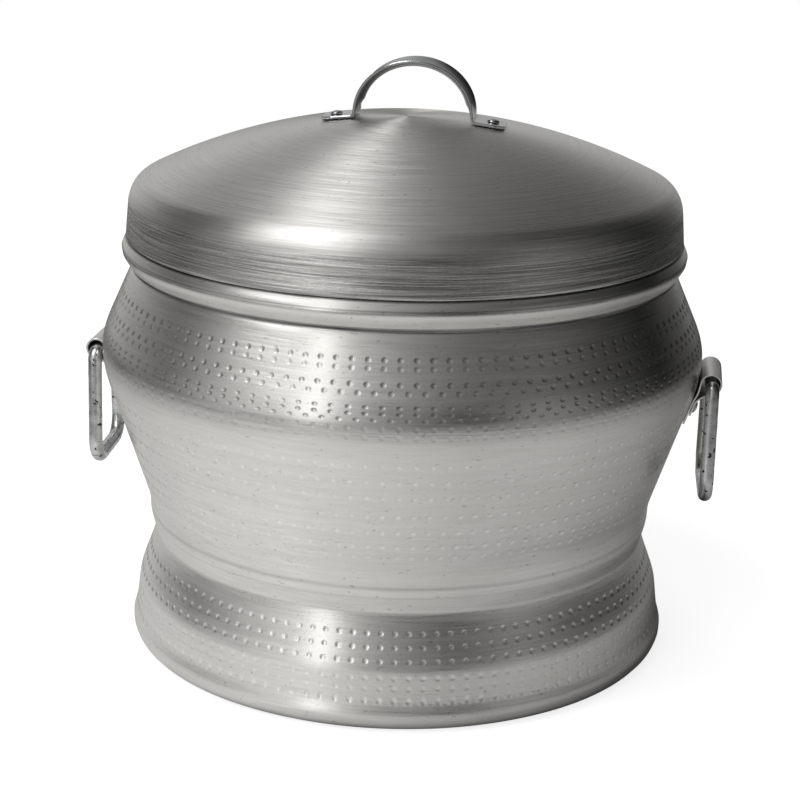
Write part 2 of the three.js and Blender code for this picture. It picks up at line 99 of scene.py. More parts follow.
# Up a wall that leans in by this many degrees.
def lean(tilt):
    return vec(-sin(radians(tilt)), cos(radians(tilt)))


# A profile stretch that leaves a along da and arrives at b along db.
def blend(a, da, b, db, leave=PULL, arrive=PULL, steps=28):
    a, b = vec(*a), vec(*b)
    reach = np.linalg.norm(b - a)
    near, far = a + leave * reach * da, b - arrive * reach * db
    t = np.linspace(0, 1, steps + 1)[:, None]
    s = 1 - t
    return s**3 * a + 3 * t * s**2 * near + 3 * t * t * s * far + t**3 * b


# A bend from a to b that rounds off the corner between them.
def rounded(a, corner, b, steps):
    t = np.linspace(0, 1, steps + 1)[:, None]
    return (1 - t) ** 2 * a + 2 * t * (1 - t) * corner + t * t * b


def arc(centre, radius, start, end, steps):
    turn = np.radians(np.linspace(start, end, steps + 1))
    return vec(*centre) + radius * np.column_stack([np.cos(turn), np.sin(turn)])


def joined(*runs):
    return np.vstack([runs[0], *(run[1:] for run in runs[1:])])


# The same run of points moved sideways, mitred at each corner. Positive is to the left.
def sideways(run, distance):
    step = np.diff(run, axis=0)
    left = np.column_stack([-step[:, 1], step[:, 0]]) / np.linalg.norm(step, axis=1)[:, None]
    before, after = np.vstack([left[:1], left]), np.vstack([left, left[-1:]])
    mitre = before + after
    mitre /= np.linalg.norm(mitre, axis=1)[:, None]
    return run + mitre * (distance / (mitre * before).sum(1))[:, None]


# The distance along a run at each of its points.
def walk(run):
    return np.concatenate([[0], np.cumsum(np.linalg.norm(np.diff(run, axis=0), axis=1))])


# Where the run is at each of these distances along it.
def along(run, distances):
    walked = walk(run)
    return np.column_stack([np.interp(distances, walked, run[:, k]) for k in (0, 1)])


UP = lean(0)
base_corner = arc((BASE_R, BASE_CORNER), BASE_CORNER, -90, LIP_TILT, 18)
up_belly, up_slope = heading(BELLY_LOW, BELLY_HIGH), heading(SLOPE, NECK)
pot_wall = joined(
    base_corner,
    np.linspace(base_corner[-1], FOOT_LIP, 5),
    blend(FOOT_LIP, lean(LIP_LEAN), FOOT_WALL, lean(FOOT_LEAN)),
    blend(FOOT_WALL, lean(FOOT_LEAN), WAIST, lean(WAIST_LEAN), SHORT_PULL),
    blend(WAIST, heading(WAIST, WAIST_ROLL), WAIST_ROLL, UP),
    blend(WAIST_ROLL, UP, BELLY_LOW, up_belly),
    np.linspace(BELLY_LOW, BELLY_HIGH, 20),
    blend(BELLY_HIGH, up_belly, SHOULDER, UP),
    blend(SHOULDER, UP, SLOPE, up_slope, PULL, SHORT_PULL),
    np.linspace(SLOPE, NECK, 16),
)
pot_bead = joined(
    blend(BEAD_FOOT, lean(BEAD_LEAN), BEAD, UP, PULL, SHORT_PULL),
    blend(BEAD, UP, RIM, heading(BEAD, RIM)),
)
pot_outside = np.vstack([pot_wall, [GROOVE], pot_bead])
pot_inside = sideways(np.vstack([pot_wall, pot_bead]), POT_WALL)
pot_inside[0] = (BASE_R, POT_WALL)
pot_inside[-1] = (RIM[0] - POT_WALL, RIM[1] - RIM_FALL)


class Turned:
    """Vertices and faces of a piece that is laid up ring by ring about the Z axis."""

    def __init__(self, columns):
        self.columns, self.points, self.faces = columns, [], []

    def add(self, r, z, column):
        turn = 2 * pi * column / self.columns
        self.points.append((r * cos(turn) * MM, r * sin(turn) * MM, z * MM))
        return len(self.points) - 1

    def ring(self, r, z, every=1):
        return [self.add(r, z, c) for c in range(0, self.columns, every)]

    def band(self, low, high):
        count = len(low)
        for i in range(count):
            k = (i + 1) % count
            self.faces.append((low[i], low[k], high[k], high[i]))

    def lathe(self, profile):
        rings = [self.ring(r, z) for r, z in profile]
        for low, high in zip(rings, rings[1:]):
            self.band(low, high)
        return rings

    def fine_to_coarse(self, fine, coarse):
        for i in range(len(coarse)):
            k = (i + 1) % len(coarse)
            self.faces.append((fine[2 * i], fine[2 * i + 1], coarse[i]))
            self.faces.append((fine[2 * i + 1], fine[2 * k], coarse[k], coarse[i]))

    def close(self, ring, z, outward):
        hub = len(self.points)
        self.points.append((0, 0, z * MM))
        count = len(ring)
        for i in range(count):
            pair = (ring[i], ring[(i + 1) % count])
            self.faces.append((hub, *(pair if outward else pair[::-1])))


def mesh_object(name, points, faces, sharp=50):
    mesh = bpy.data.meshes.new(name)
    mesh.from_pydata([tuple(p) for p in points], [], faces)
    mesh.update()
    mesh.shade_smooth()
    mesh.set_sharp_from_angle(angle=radians(sharp))
    piece = bpy.data.objects.new(name, mesh)
    bpy.context.scene.collection.objects.link(piece)
    return piece


wall_walk = walk(pot_outside)
pot_shell = Turned(2 * BLOWS_IN_ROW)
dent_depth, blow_slope, darkening_and_glint = {}, {}, {}
# How strong the painted glint is in each blow.
glints = np.random.default_rng(GLINT_SEED).uniform(
    FAINTEST_GLINT, 1, (len(BLOW_ROWS), BLOWS_IN_ROW))


# How far along the wall that height is, and the place on the wall at that distance.
def wall_distance(z):
    return float(np.interp(z, pot_outside[:, 1], wall_walk))


def on_wall(distance):
    return along(pot_outside, [distance])[0]


# Plain rings from one distance along the wall to another, with one on each side of a crease.
def plain_band(start, end, low):
    steps = max(1, round((end - start) / PLAIN_STEP))
    beside = [wall_distance(z) for z in CREASE_RINGS]
    stops = [d for d in beside if start < d < end - RING_CLEAR]
    for distance in sorted([*np.linspace(start, end, steps + 1)[1:], *stops]):
        high = pot_shell.ring(*on_wall(distance))
        pot_shell.band(low, high)
        low = high
    return low


# One row: each blow is a cell of the wall, with a rim, a slope and a bottom.
def blow_row(number, low, start, middle, end):
    at, weight, shift = BLOW_ROWS[number]
    high = pot_shell.ring(*on_wall(end))
    room = BLOW_FILL * min(middle - start, end - middle)
    half_h = min(BLOW_HALF_H if number else LOWEST_HALF_H, room)
    side_r, side_z = on_wall(middle)
    sides = [pot_shell.add(side_r, side_z, 2 * i + shift) for i in range(BLOWS_IN_ROW)]
    total = pot_shell.columns
    half_w = BLOW_HALF_W / (2 * pi * side_r / total)
    steep = SHADED_DEPTH * weight
    corner = sqrt(0.5)
    ways = [(-corner, -corner), (0, -1), (corner, -corner), (1, 0),
            (corner, corner), (0, 1), (-corner, corner), (-1, 0)]
    levels = {(share, up): on_wall(middle + share * up * half_h)
              for share in (1, SLOPE_SHARE) for up in {w[1] for w in ways}}
    for i in range(BLOWS_IN_ROW):
        first = 2 * i + shift
        # High on the pot the blows are darkened, most on their slopes; lower down a painted glint
        # lightens their bottoms, fainter on their slopes.
        darkening_and_glint_on_slope, darkening_and_glint_in_bottom = weight**3, DARKENING_IN_BOTTOM * weight**3
        if at < DARKENED_FROM:
            painted_glint = PAINTED_GLINT * weight * glints[number, i]
            darkening_and_glint_on_slope, darkening_and_glint_in_bottom = -PAINTED_GLINT_ON_SLOPE * painted_glint, -painted_glint
        a, b, c = first % total, (first + 1) % total, (first + 2) % total
        edge = [low[a], low[b], low[c], sides[(i + 1) % BLOWS_IN_ROW],
                high[c], high[b], high[a], sides[i]]
        rings = []
        for share, depth in ((1, 0), (SLOPE_SHARE, SLOPE_DEPTH)):
            ring = [pot_shell.add(*levels[share, w[1]], first + 1 + share * w[0] * half_w)
                    for w in ways]
            rings.append(ring)
            for vertex, w in zip(ring, ways):
                dent_depth[vertex] = depth * weight
                if depth:
                    darkening_and_glint[vertex] = darkening_and_glint_on_slope
                    blow_slope[vertex] = (-w[0] * steep / BLOW_HALF_W, -w[1] * steep / half_h)
        rim, slope = rings
        bottom = pot_shell.add(side_r, side_z, first + 1)
        dent_depth[bottom] = weight
        darkening_and_glint[bottom] = darkening_and_glint_in_bottom
        for k in range(len(ways)):
            n = (k + 1) % len(ways)
            pot_shell.faces.append((edge[k], edge[n], rim[n], rim[k]))
            pot_shell.faces.append((rim[k], rim[n], slope[n], slope[k]))
            pot_shell.faces.append((slope[k], slope[n], bottom))
    return high


ring = pot_shell.ring(BASE_R, 0)
pot_shell.close(ring, 0, outward=False)
reached = 0.0
row_at = [-np.inf, *(wall_distance(z) for z, _, _ in BLOW_ROWS), np.inf]
for number, (below, middle, above) in enumerate(zip(row_at, row_at[1:], row_at[2:])):
    start = middle - min(BLOW_CLEAR, (middle - below) / 2)
    end = middle + min(BLOW_CLEAR, (above - middle) / 2)
    if start - reached > ROWS_MEET:
        ring = plain_band(reached, start, ring)
    ring = blow_row(number, ring, start, middle, end)
    reached = end
ring = plain_band(reached, wall_walk[-1], ring)
outside_count = len(pot_shell.points)
for lip_r in (RIM[0] - RIM_EASE, RIM[0] - POT_WALL + RIM_EASE):
    lip_ring = pot_shell.ring(lip_r, RIM[1] - RIM_CROWN)
    pot_shell.band(ring, lip_ring)
    ring = lip_ring
# The inside is the shorter run, so the first of these steps would only repeat its end.
inside_steps = along(pot_inside, np.linspace(wall_walk[-1], 0, INSIDE_RINGS)[1:])
inner = pot_shell.ring(*inside_steps[0], every=2)
pot_shell.fine_to_coarse(ring, inner)
for r, z in inside_steps[1:]:
    lower = pot_shell.ring(r, z, every=2)
    pot_shell.band(inner, lower)
    inner = lower
pot_shell.close(inner, POT_WALL, outward=True)
pot_body = mesh_object("pot_body_spun", pot_shell.points, pot_shell.faces)
for label, values in (("dent", dent_depth), ("soot", darkening_and_glint)):
    attribute = pot_body.data.attributes.new(label, "FLOAT", "POINT")
    attribute.data.foreach_set("value", [values.get(i, 0) for i in range(len(pot_shell.points))])


# A node of that type, set up and linked: settings are its properties, links its inputs.
def add_node(tree, kind, settings=None, links=None):
    node = tree.nodes.new(kind)
    for key, value in (settings or {}).items():
        setattr(node, key, value)
    for key, value in (links or {}).items():
        if isinstance(value, bpy.types.NodeSocket):
            tree.links.new(value, node.inputs[key])
        else:
            node.inputs[key].default_value = value
    return node


# A maths node with its operands, either sockets or numbers.
def sums(tree, operation, *operands):
    links = dict(enumerate(operands))
    return add_node(tree, "ShaderNodeMath", {"operation": operation}, links).outputs[0]


def times(tree, value, factor):
    return sums(tree, "MULTIPLY", value, factor)


# An empty tree of geometry nodes with these inputs: label and socket type.
def shaping_tree(name, inputs):
    tree = bpy.data.node_groups.new(name, "GeometryNodeTree")
    for label, kind in {"Geometry": "Geometry", **inputs}.items():
        tree.interface.new_socket(label, in_out="INPUT", socket_type="NodeSocket" + kind)
    tree.interface.new_socket("Geometry", in_out="OUTPUT", socket_type="NodeSocketGeometry")
    return tree, tree.nodes.new("NodeGroupInput").outputs


# What the mesh has stored at each point under that label.
def stored(tree, label, kind):
    return add_node(tree, "GeometryNodeInputNamedAttribute", {"data_type": kind},
                    {"Name": label}).outputs[0]


# The geometry with each point moved that far along its normal.
def pushed(tree, geometry, distance):
    normal = add_node(tree, "GeometryNodeInputNormal").outputs[0]
    offset = add_node(tree, "ShaderNodeVectorMath", {"operation": "SCALE"},
                      {0: normal, "Scale": distance}).outputs[0]
    return add_node(tree, "GeometryNodeSetPosition",
                    links={"Geometry": geometry, "Offset": offset}).outputs[0]


# Ends a tree: what was instanced is made real, and takes the piece's material.
def end_tree(tree, geometry, material):
    real = add_node(tree, "GeometryNodeRealizeInstances", links={0: geometry}).outputs[0]
    dressed = add_node(tree, "GeometryNodeSetMaterial",
                       links={"Geometry": real, "Material": material}).outputs[0]
    add_node(tree, "NodeGroupOutput", links={0: dressed})


# Puts the tree on the object with these input values, and keeps the result as its plain mesh.
def shaped(piece, tree, **values):
    modifier = piece.modifiers.new(tree.name, "NODES")
    modifier.node_group = tree
    for item in tree.interface.items_tree:
        label = item.name.lower().replace(" ", "_")
        if item.in_out == "INPUT" and label in values:
            modifier[item.identifier] = values[label]
    evaluated = piece.evaluated_get(bpy.context.evaluated_depsgraph_get())
    mesh = bpy.data.meshes.new_from_object(evaluated)
    piece.modifiers.remove(modifier)
    piece.data = mesh
    mesh.name = piece.name
    return piece


def object_place(tree):
    return add_node(tree, "ShaderNodeTexCoord").outputs["Object"]


def split(tree, vector):
    return add_node(tree, "ShaderNodeSeparateXYZ", links={0: vector}).outputs


def stretched(tree, place, scale):
    return add_node(tree, "ShaderNodeMapping", links={"Vector": place, "Scale": scale}).outputs[0]


def noise(tree, place, scale, detail, roughness=0.5):
    return add_node(tree, "ShaderNodeTexNoise", links={
        "Vector": place, "Scale": scale, "Detail": detail, "Roughness": roughness}).outputs[0]


# The value moved from one range to another, and eased at both ends if it is smooth.
def spread(tree, value, low=0.0, high=1.0, to_low=0.0, to_high=1.0, smooth=False):
    kind = "SMOOTHSTEP" if smooth else "LINEAR"
    return add_node(tree, "ShaderNodeMapRange", {"interpolation_type": kind}, {
        "Value": value, "From Min": low, "From Max": high,
        "To Min": to_low, "To Max": to_high}).outputs[0]


# A colour between two, by a mask or by that share of it.
def between(tree, mask, dark, light, share=1.0):
    mask = mask if share == 1.0 else times(tree, mask, share)
    dark, light = (c if isinstance(c, bpy.types.NodeSocket) else (*c, 1) for c in (dark, light))
    return add_node(tree, "ShaderNodeMix", {"data_type": "RGBA"},
                    {0: mask, 6: dark, 7: light}).outputs[2]


# An empty shader group with these numbers going in and coming out.
def effect_tree(name, given, made):
    tree = bpy.data.node_groups.new(name, "ShaderNodeTree")
    for in_out, labels in (("INPUT", given), ("OUTPUT", made)):
        for label in labels:
            tree.interface.new_socket(label, in_out=in_out, socket_type="NodeSocketFloat")
    return tree, tree.nodes.new("NodeGroupInput").outputs


# Spinning and sanding marks: fine rings about the axis, long round the piece and close across it.
marks_tree, given = effect_tree("turning_marks", ("Round", "Across", "Detail", "Bite"),
                                ("Marks", "Smudge"))
tree = marks_tree
place = object_place(tree)
x, y, z = split(tree, place)
radius = sums(tree, "SQRT", sums(tree, "ADD", times(tree, x, x), times(tree, y, y)))
off_axis = sums(tree, "MAXIMUM", radius, 0.5 * MM)
wound = add_node(tree, "ShaderNodeCombineXYZ", links={
    0: times(tree, sums(tree, "DIVIDE", x, off_axis), given["Round"]),
    1: times(tree, sums(tree, "DIVIDE", y, off_axis), given["Round"]),
    2: times(tree, sums(tree, "SUBTRACT", z, radius), given["Across"])}).outputs[0]
lines = spread(tree, noise(tree, wound, 1.0, given["Detail"], 0.62), 0.28, 0.72, smooth=True)
bitten = times(tree, sums(tree, "SUBTRACT", lines, 0.5), given["Bite"])
add_node(tree, "NodeGroupOutput", links={
    "Marks": sums(tree, "ADD", bitten, 0.5),
    "Smudge": spread(tree, noise(tree, place, 17.0, 5.0), 0.3, 0.7, smooth=True)})

# Specks: small pits and dirt that the sanding left, drawn out a little round the piece.
specks_tree, given = effect_tree("specks", ("Scale", "Rarity"), ("Specks",))
tree = specks_tree
grains = noise(tree, stretched(tree, object_place(tree), (1.0, 1.0, 1.9)), given["Scale"], 2.0)
fullest = sums(tree, "ADD", given["Rarity"], 0.06)
add_node(tree, "NodeGroupOutput", links={
    "Specks": spread(tree, grains, given["Rarity"], fullest, smooth=True)})


# Turning marks: how often they change around the piece and across it, how fine and how strong.
def turning(tree, around, across, detail, bite=1.0):
    return add_node(tree, "ShaderNodeGroup", {"node_tree": marks_tree}, {
        "Round": around, "Across": across, "Detail": detail, "Bite": bite}).outputs


def specks(tree, scale, rarity):
    return add_node(tree, "ShaderNodeGroup", {"node_tree": specks_tree},
                    {"Scale": scale, "Rarity": rarity}).outputs[0]


# A bare metal. If it is anisotropic, its highlights lie a quarter turn from the turning marks.
def bare_metal(name, anisotropic=0.0):
    material = bpy.data.materials.new(name)
    material.use_nodes = True
    tree = material.node_tree
    shader = tree.nodes["Principled BSDF"]
    shader.inputs["Metallic"].default_value = 1.0
    if anisotropic:
        shader.inputs["Anisotropic"].default_value = anisotropic
        shader.inputs["Anisotropic Rotation"].default_value = 0.25
        axis = add_node(tree, "ShaderNodeTangent", {"direction_type": "RADIAL", "axis": "Z"})
        tree.links.new(axis.outputs[0], shader.inputs["Tangent"])
    return material, tree, shader


# Joins the colour, the roughness and a fine relief of that strength and depth in metres.
def dress_metal(tree, shader, colour, rough, relief, strength, depth):
    bump = add_node(tree, "ShaderNodeBump", links={
        "Strength": strength, "Distance": depth, "Height": relief}).outputs[0]
    for label, socket in (("Base Color", colour), ("Roughness", rough), ("Normal", bump)):
        tree.links.new(socket, shader.inputs[label])


hammered, tree, shader = bare_metal("hammered_aluminium", 0.62)
marks = turning(tree, around=6.0, across=520.0, detail=5.0, bite=0.9)
scores = turning(tree, around=1.6, across=170.0, detail=3.0)
both = sums(tree, "ADD", times(tree, marks["Marks"], 0.65), times(tree, scores["Marks"], 0.35))
# The blows are darkened high on the pot and carry a painted glint lower down, by the value stored
# at each point.
darkening_and_glint_mask = add_node(tree, "ShaderNodeAttribute", {"attribute_name": "soot"}).outputs["Fac"]
sheen = between(tree, both, (0.66, 0.648, 0.622), (0.86, 0.85, 0.825))
clouded = between(tree, marks["Smudge"], sheen, (0.73, 0.712, 0.675), 0.4)
pitted = between(tree, specks(tree, scale=250.0, rarity=0.665), clouded, (0.3, 0.29, 0.27), 0.45)
darkened_blows = between(tree, darkening_and_glint_mask, pitted, (0.2, 0.195, 0.185), 0.55)
with_painted_glints = between(tree, darkening_and_glint_mask, darkened_blows, (0.98, 0.97, 0.95), -1.0)
height = split(tree, object_place(tree))[2]
# Painted shade: each crease and the bottom edge get a dark band where shadow falls, made patchy by
# the smudges.
painted_shade = 0.0
for at, half_w, dark in PAINTED_CREASE_SHADE:
    off = sums(tree, "ABSOLUTE", sums(tree, "SUBTRACT", height, at * MM))
    line = spread(tree, off, 0.0, half_w * MM, dark, 0.0, smooth=True)
    painted_shade = sums(tree, "MAXIMUM", painted_shade, line)
patchy_painted_shade = times(tree, painted_shade, sums(tree, "MULTIPLY_ADD", scores["Smudge"], 0.3, 0.7))
dress_metal(tree, shader, between(tree, patchy_painted_shade, with_painted_glints, (0.03, 0.03, 0.03)),
            spread(tree, both, to_low=0.25, to_high=0.35), both, strength=0.2, depth=0.0003)

blow_tree, given = shaping_tree("punch_blows", {"Depth": "Float"})
tree = blow_tree
depth = times(tree, stored(tree, "dent", "FLOAT"), given["Depth"])
end_tree(tree, pushed(tree, given["Geometry"], times(tree, depth, -1.0)), hammered)
shaped(pot_body, blow_tree, depth=BLOW_DEPTH * MM)

# The wall between the blows keeps its own smooth shading right up to their rims.
facing = np.empty(3 * len(pot_shell.points))
pot_body.data.vertices.foreach_get("normal", facing)
facing = facing.reshape(-1, 3)
wall = np.array(pot_shell.points[:outside_count])
rise = np.gradient(pot_outside, axis=0)
rise /= np.linalg.norm(rise, axis=1)[:, None]
out_r = np.interp(wall[:, 2] / MM, pot_outside[:, 1], rise[:, 1])
out_z = np.interp(wall[:, 2] / MM, pot_outside[:, 1], -rise[:, 0])
turn = np.arctan2(wall[:, 1], wall[:, 0])
facing[:outside_count] = np.column_stack([out_r * np.cos(turn), out_r * np.sin(turn), out_z])
for vertex, (across, up) in blow_slope.items():
    c, s = np.cos(turn[vertex]), np.sin(turn[vertex])
    up_wall = vec(-out_z[vertex] * c, -out_z[vertex] * s, out_r[vertex])
    facing[vertex] += across * vec(-s, c, 0) + up * up_wall
facing /= np.linalg.norm(facing, axis=1)[:, None]
pot_body.data.normals_split_custom_set_from_vertices(facing.tolist())
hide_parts("pot_body")
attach(pot_body, "pot")


# Hinge straps: a strip of soft aluminium on each side, rolled into a barrel round the bail's top
# bar. Both leaves are dressed to the round of the wall below it, and two rivets clamp them there.
STRAP_SHEET, STRAP_W = 1.4, 47
STRAP_GAP, WALL_Z, BARREL_R = 0.3, 204, 7.75
LONG_LEAF, SHORT_LEAF, LEAF_TOP, COIL_END = 31, 24, 15, -76
EDGE, STRAP_STATIONS = 0.28, np.linspace(-0.8, 0.8, 9)


# Place on the wall at a height, and the way out of the metal there.
def wall_at(z):
    k = int(np.searchsorted(pot_outside[:, 1], z))
    low, high = pot_outside[k - 1], pot_outside[k]
    way = heading(low, high)
    return low + (high - low) * (z - low[1]) / (high[1] - low[1]), vec(way[1], -way[0])


# A leaf lies along the wall between two heights, at that stand from it. Its run goes up.
def leaf(low, high, stand):
    between_them = pot_outside[(pot_outside[:, 1] > low) & (pot_outside[:, 1] < high)]
    return sideways(np.vstack([wall_at(low)[0], between_them, wall_at(high)[0]]), -stand)


# A strip of sheet along a run of (x, z) points, its edges eased, at stations across its width.
# half_w is its half width at each point of the run, and dish how deep its middle is pressed there,
# to the left of the run.
def bent_sheet(name, run, sheet, half_w, stations, ease=EDGE, dish=0.0, moved=None):
    count = len(run)
    points, faces, loops = [], [], []
    half_w = np.broadcast_to(half_w, count)
    inner = [(s, 0, ease) for s in (-1, *stations, 1)]
    for share, thin, inset in [(-1, ease, 0), *inner, (1, ease, 0)]:
        hollow = dish * (1 - share * share)
        face = [sideways(run, side * (sheet / 2 - thin) + hollow) for side in (-1, 1)]
        y = share * (half_w - inset)
        loop = []
        for side in (0, 1):
            for i in range(count) if side == 0 else reversed(range(count)):
                loop.append(len(points))
                points.append((face[side][i][0], y[i], face[side][i][1]))
        loops.append(loop)
    size = 2 * count
    for one, two in zip(loops, loops[1:]):
        for i in range(size):
            k = (i + 1) % size
            faces.append((one[i], two[i], two[k], one[k]))
    for loop, front in ((loops[0], True), (loops[-1], False)):
        for i in range(count - 1):
            quad = (loop[i], loop[i + 1], loop[size - 2 - i], loop[size - 1 - i])
            faces.append(quad if front else quad[::-1])
    points = np.array(points) if moved is None else moved(np.array(points))
    return mesh_object(name, points * MM, faces, sharp=38)


stand = STRAP_GAP + STRAP_SHEET / 2
coil_r = BARREL_R - STRAP_SHEET / 2
barrel_seat, barrel_out = wall_at(WALL_Z)
barrel = barrel_seat + (stand + coil_r) * barrel_out
coil_start = np.degrees(atan2(-barrel_out[1], -barrel_out[0]))
coil_sweep = (COIL_END - coil_start) % 360 - 360
coil = arc(barrel, coil_r, coil_start, coil_start + coil_sweep, 44)
long_leaf = leaf(WALL_Z - LONG_LEAF, WALL_Z, stand)
short_leaf = leaf(WALL_Z - SHORT_LEAF, WALL_Z - LEAF_TOP, stand + STRAP_SHEET + STRAP_GAP)
leave_coil = heading(barrel, coil[-1])[::-1] * (1, -1)
up_leaf = heading(short_leaf[-2], short_leaf[-1])
to_leaf = short_leaf[-1] - coil[-1]
reach = (to_leaf[0] * up_leaf[1] - to_leaf[1] * up_leaf[0]) / (
    leave_coil[0] * up_leaf[1] - leave_coil[1] * up_leaf[0])
tuck = rounded(coil[-1], coil[-1] + reach * leave_coil, short_leaf[-1], 12)
strap_run = joined(long_leaf, coil, tuck, short_leaf[::-1])


# Below the barrel the strap follows the round of the wall; the barrel itself stays straight.
def dressed(points):
    x, y, z = points.T
    straight_above, round_below = barrel[1] - BARREL_R, WALL_Z - LEAF_TOP
    share = np.clip((straight_above - z) / (straight_above - round_below), 0, 1)
    return np.column_stack([x - share * (x - np.sqrt(x * x - y * y)), y, z])


pressed, tree, shader = bare_metal("pressed_aluminium")
place = object_place(tree)
grain = noise(tree, stretched(tree, place, (900.0, 90.0, 900.0)), 1.0, 4.0, 0.6)
stain = noise(tree, place, 60.0, 6.0)
dress_metal(tree, shader, between(tree, stain, (0.70, 0.69, 0.675), (0.84, 0.835, 0.825)),
            spread(tree, grain, 0.3, 0.7, 0.3, 0.46), grain, strength=0.12, depth=0.0002)
for side, turn in (("right", 0), ("left", pi)):
    strap = bent_sheet("hinge_strap_" + side + "_rolled", strap_run, STRAP_SHEET, STRAP_W / 2,
                       STRAP_STATIONS, moved=dressed)
    strap.data.transform(Matrix.Rotation(turn, 4, "Z"))
    strap.data.materials.append(pressed)
    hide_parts("hinge_strap_" + side)
    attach(strap, "pot")


# Strap rivets: four soft aluminium rivets, two through each strap and the wall, heads outside.
# The heads were domed with a snap, and the tails are spread flat inside the pot.
RIVET_SHANK_R, RIVET_HEAD_R, RIVET_HEAD_H = 2.2, 4.4, 2
RIVET_TAIL_R, RIVET_TAIL_H, RIVET_TAIL_FLAT_R = 4, 1.4, 2.8
TAIL_EASE, HEAD_EASE, HEAD_LIP, DOME_END, RIVET_SIDES = 0.3, 0.2, 0.15, 84, 20
RIVET_DROP, RIVET_SPREAD, RIVET_PLAY = 20, 26, 0.6


# One rivet about its own Z axis, its head above head_z and its tail below tail_z.
def rivet_pattern(name, head_z, tail_z):
    dome = np.radians(np.linspace(0, DOME_END, 7))
    dome_z = head_z + HEAD_LIP + (RIVET_HEAD_H - HEAD_LIP) * np.sin(dome)
    body = Turned(RIVET_SIDES)
    rings = body.lathe([
        (RIVET_TAIL_FLAT_R, tail_z - RIVET_TAIL_H), (RIVET_TAIL_R - TAIL_EASE, tail_z - TAIL_EASE),
        (RIVET_TAIL_R, tail_z), (RIVET_SHANK_R, tail_z), (RIVET_SHANK_R, head_z),
        (RIVET_HEAD_R - HEAD_EASE, head_z), *zip(RIVET_HEAD_R * np.cos(dome), dome_z)])
    body.close(rings[0], tail_z - RIVET_TAIL_H, outward=False)
    body.close(rings[-1], head_z + RIVET_HEAD_H, outward=True)
    return mesh_object(name, body.points, body.faces, sharp=40)


rivet_tree, given = shaping_tree("set_rivets", {"Rivet": "Object"})
tree = rivet_tree
aimed = add_node(tree, "FunctionNodeAlignRotationToVector", {"axis": "Z"}, {
    "Vector": stored(tree, "aim", "FLOAT_VECTOR")}).outputs[0]
pattern = add_node(tree, "GeometryNodeObjectInfo", {"transform_space": "ORIGINAL"}, {
    "Object": given["Rivet"], "As Instance": True}).outputs["Geometry"]
set_rivets = add_node(tree, "GeometryNodeInstanceOnPoints", links={
    "Points": given["Geometry"], "Instance": pattern, "Rotation": aimed}).outputs[0]
end_tree(tree, set_rivets, pressed)


# Rivets of that pattern at these seats, each with the way its head points.
def rivet_set(name, pattern, seats):
    piece = mesh_object(name, [vec(*seat) * MM for seat, _ in seats], [])
    ways = piece.data.attributes.new("aim", "FLOAT_VECTOR", "POINT")
    ways.data.foreach_set("vector", [float(n) for _, way in seats for n in way])
    shaped(piece, rivet_tree, rivet=pattern)
    pattern_mesh = pattern.data
    bpy.data.objects.remove(pattern)
    bpy.data.meshes.remove(pattern_mesh)
    return piece


rivet_seat, rivet_out = wall_at(WALL_Z - RIVET_DROP)
rivet_turn = np.arcsin(RIVET_SPREAD / 2 / rivet_seat[0])
seats = []
for turn in (-rivet_turn, rivet_turn, pi - rivet_turn, pi + rivet_turn):
    c, s = cos(turn), sin(turn)
    seats.append(((rivet_seat[0] * c, rivet_seat[0] * s, rivet_seat[1]),
                  (rivet_out[0] * c, rivet_out[0] * s, rivet_out[1])))
leaves_top = 3 * STRAP_GAP + 2 * STRAP_SHEET
strap_rivet = rivet_pattern("strap_rivet", leaves_top, -POT_WALL - RIVET_PLAY)
strap_rivets = rivet_set("strap_rivets_set", strap_rivet, seats)
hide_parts(*(f"strap_rivet_{side}_{end}"
                            for side in ("right", "left") for end in ("front", "back")))
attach(strap_rivets, "pot")


# Bails: two ring handles of 10 mm galvanised steel rod, bent square, wider below and round in the
# lower corners. Each hangs by its top bar, where its ends meet, loose and askew in its barrel.
ROD_R, BAIL_W, BAIL_LOW_W, BAIL_DROP = 5, 61, 71, 81
TOP_CORNER, LOW_CORNER, BUTT_GAP = 7, 16, 1.5
ROD_SIDES, LUMPS, LUMP_MIDDLE = 20, 0.6, 0.62
# The side's name, its way along X, how far askew the bail hangs, and the seed of its lumps.
BAILS = (("right", 1, 1.8, 3.0), ("left", -1, -1.8, 8.0))
splay = atan2((BAIL_LOW_W - BAIL_W) / 2, BAIL_DROP)
top_bend = arc((BAIL_W / 2 - TOP_CORNER * (1 - sin(splay)) / cos(splay), -TOP_CORNER),
               TOP_CORNER, 90, np.degrees(splay), 9)
low_bend = arc((BAIL_LOW_W / 2 - LOW_CORNER * (1 + sin(splay)) / cos(splay),
                LOW_CORNER - BAIL_DROP), LOW_CORNER, np.degrees(splay), -90, 14)
half_run = joined(
    np.linspace((BUTT_GAP / 2, 0), top_bend[0], 8), top_bend,
    np.linspace(top_bend[-1], low_bend[0], 18), low_bend,
    np.linspace(low_bend[-1], (0, -BAIL_DROP), 6),
)
bail_run = joined(half_run, half_run[::-1] * (-1, 1))
bail_x, bail_z = barrel[0], barrel[1] - (BARREL_R - STRAP_SHEET - ROD_R - STRAP_GAP)

galvanised, tree, shader = bare_metal("galvanised_steel")
place = object_place(tree)
spangle = add_node(tree, "ShaderNodeTexVoronoi", links={"Vector": place, "Scale": 260.0})
flake = add_node(tree, "ShaderNodeSeparateColor", links={0: spangle.outputs["Color"]}).outputs[0]
drift = noise(tree, place, 75.0, 6.0)
pitted = spread(tree, noise(tree, place, 230.0, 3.0), 0.615, 0.67, smooth=True)
zinc = between(tree, flake, (0.58, 0.585, 0.585), (0.78, 0.785, 0.78))
dull = between(tree, drift, zinc, (0.48, 0.485, 0.485), 0.6)
dress_metal(tree, shader, between(tree, pitted, dull, (0.05, 0.052, 0.055)),
            spread(tree, drift, 0.3, 0.7, 0.17, 0.34),
            sums(tree, "SUBTRACT", drift, pitted), strength=0.35, depth=0.0006)

